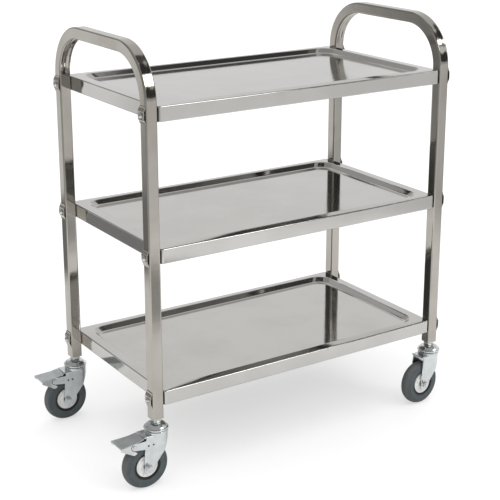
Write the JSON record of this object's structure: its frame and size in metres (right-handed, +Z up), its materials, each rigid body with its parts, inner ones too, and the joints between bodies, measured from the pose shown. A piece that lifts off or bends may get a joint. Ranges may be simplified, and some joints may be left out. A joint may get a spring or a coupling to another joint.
{
  "type": "utility cart",
  "caption": "Steel utility cart with stacked trays bolted between bent-tube end frames that serve as handles, on swivel castors, braked at one end.",
  "frame": {"origin": "on the floor, in the middle of the cart's box with the castors as they stand", "axes": "+X along the cart towards the unbraked end, +Y towards the back, +Z up"},
  "size_m": [0.8416, 0.4289, 0.9],
  "materials": {
    "polished_steel": "polished",
    "tray_steel": "satin",
    "bright_bolts": "bright",
    "zinc": "zinc plated",
    "tyre_rubber": "matt",
    "dark_plastic": "matt",
    "pale_plastic": "satin"
  },
  "bodies": {
    "frame": {"left_end_frame": "polished_steel", "right_end_frame": "polished_steel", "bottom_tray": "tray_steel", "middle_tray": "tray_steel", "top_tray": "tray_steel", "saddle_plates": "polished_steel", "frame_bolts": "bright_bolts", "frame_nuts": "bright_bolts", "leg_inserts": "dark_plastic", "front_left_stem": "zinc", "front_left_king_pin": "zinc", "front_left_bearing_balls": "bright_bolts", "front_right_stem": "zinc", "front_right_king_pin": "zinc", "front_right_bearing_balls": "bright_bolts", "rear_left_stem": "zinc", "rear_left_king_pin": "zinc", "rear_left_bearing_balls": "bright_bolts", "rear_right_stem": "zinc", "rear_right_king_pin": "zinc", "rear_right_bearing_balls": "bright_bolts"},
    "front_left_brake": {"front_left_pedal": "zinc"},
    "front_left_castor": {"front_left_fork": "zinc", "front_left_axle_bolt": "bright_bolts", "front_left_axle_nut": "bright_bolts", "front_left_axle_sleeve": "zinc", "front_left_pedal_pin": "bright_bolts"},
    "front_left_wheel": {"front_left_tyre": "tyre_rubber", "front_left_hub": "dark_plastic", "front_left_hub_covers": "pale_plastic"},
    "front_right_castor": {"front_right_fork": "zinc", "front_right_axle_bolt": "bright_bolts", "front_right_axle_nut": "bright_bolts", "front_right_axle_sleeve": "zinc"},
    "front_right_wheel": {"front_right_tyre": "tyre_rubber", "front_right_hub": "dark_plastic", "front_right_hub_covers": "pale_plastic"},
    "rear_left_brake": {"rear_left_pedal": "zinc"},
    "rear_left_castor": {"rear_left_fork": "zinc", "rear_left_axle_bolt": "bright_bolts", "rear_left_axle_nut": "bright_bolts", "rear_left_axle_sleeve": "zinc", "rear_left_pedal_pin": "bright_bolts"},
    "rear_left_wheel": {"rear_left_tyre": "tyre_rubber", "rear_left_hub": "dark_plastic", "rear_left_hub_covers": "pale_plastic"},
    "rear_right_castor": {"rear_right_fork": "zinc", "rear_right_axle_bolt": "bright_bolts", "rear_right_axle_nut": "bright_bolts", "rear_right_axle_sleeve": "zinc"},
    "rear_right_wheel": {"rear_right_tyre": "tyre_rubber", "rear_right_hub": "dark_plastic", "rear_right_hub_covers": "pale_plastic"}
  },
  "joints": [
    {"name": "front_left_swivel", "type": "hinge", "parent": "frame", "child": "front_left_castor", "pos_m": [-0.32965, -0.1875, 0.123], "axis": [0, 0, 1], "continuous": true},
    {"name": "front_left_wheel_turn", "type": "hinge", "parent": "front_left_castor", "child": "front_left_wheel", "pos_m": [-0.35765, -0.1875, 0.05], "axis": [0, 1, 0], "continuous": true},
    {"name": "front_left_brake_press", "type": "hinge", "parent": "front_left_castor", "child": "front_left_brake", "pos_m": [-0.38665, -0.1875, 0.1015], "axis": [0, -1, 0], "range_deg": [0, 18]},
    {"name": "front_right_swivel", "type": "hinge", "parent": "frame", "child": "front_right_castor", "pos_m": [0.39535, -0.1875, 0.123], "axis": [0, 0, 1], "continuous": true},
    {"name": "front_right_wheel_turn", "type": "hinge", "parent": "front_right_castor", "child": "front_right_wheel", "pos_m": [0.36744, -0.18984, 0.05], "axis": [-0.0837, 0.9965, 0], "continuous": true},
    {"name": "rear_left_swivel", "type": "hinge", "parent": "frame", "child": "rear_left_castor", "pos_m": [-0.32965, 0.1875, 0.123], "axis": [0, 0, 1], "continuous": true},
    {"name": "rear_left_wheel_turn", "type": "hinge", "parent": "rear_left_castor", "child": "rear_left_wheel", "pos_m": [-0.35765, 0.1875, 0.05], "axis": [0, 1, 0], "continuous": true},
    {"name": "rear_left_brake_press", "type": "hinge", "parent": "rear_left_castor", "child": "rear_left_brake", "pos_m": [-0.38665, 0.1875, 0.1015], "axis": [0, -1, 0], "range_deg": [0, 18]},
    {"name": "rear_right_swivel", "type": "hinge", "parent": "frame", "child": "rear_right_castor", "pos_m": [0.39535, 0.1875, 0.123], "axis": [0, 0, 1], "continuous": true},
    {"name": "rear_right_wheel_turn", "type": "hinge", "parent": "rear_right_castor", "child": "rear_right_wheel", "pos_m": [0.36735, 0.1875, 0.05], "axis": [0, 1, 0], "continuous": true}
  ]
}
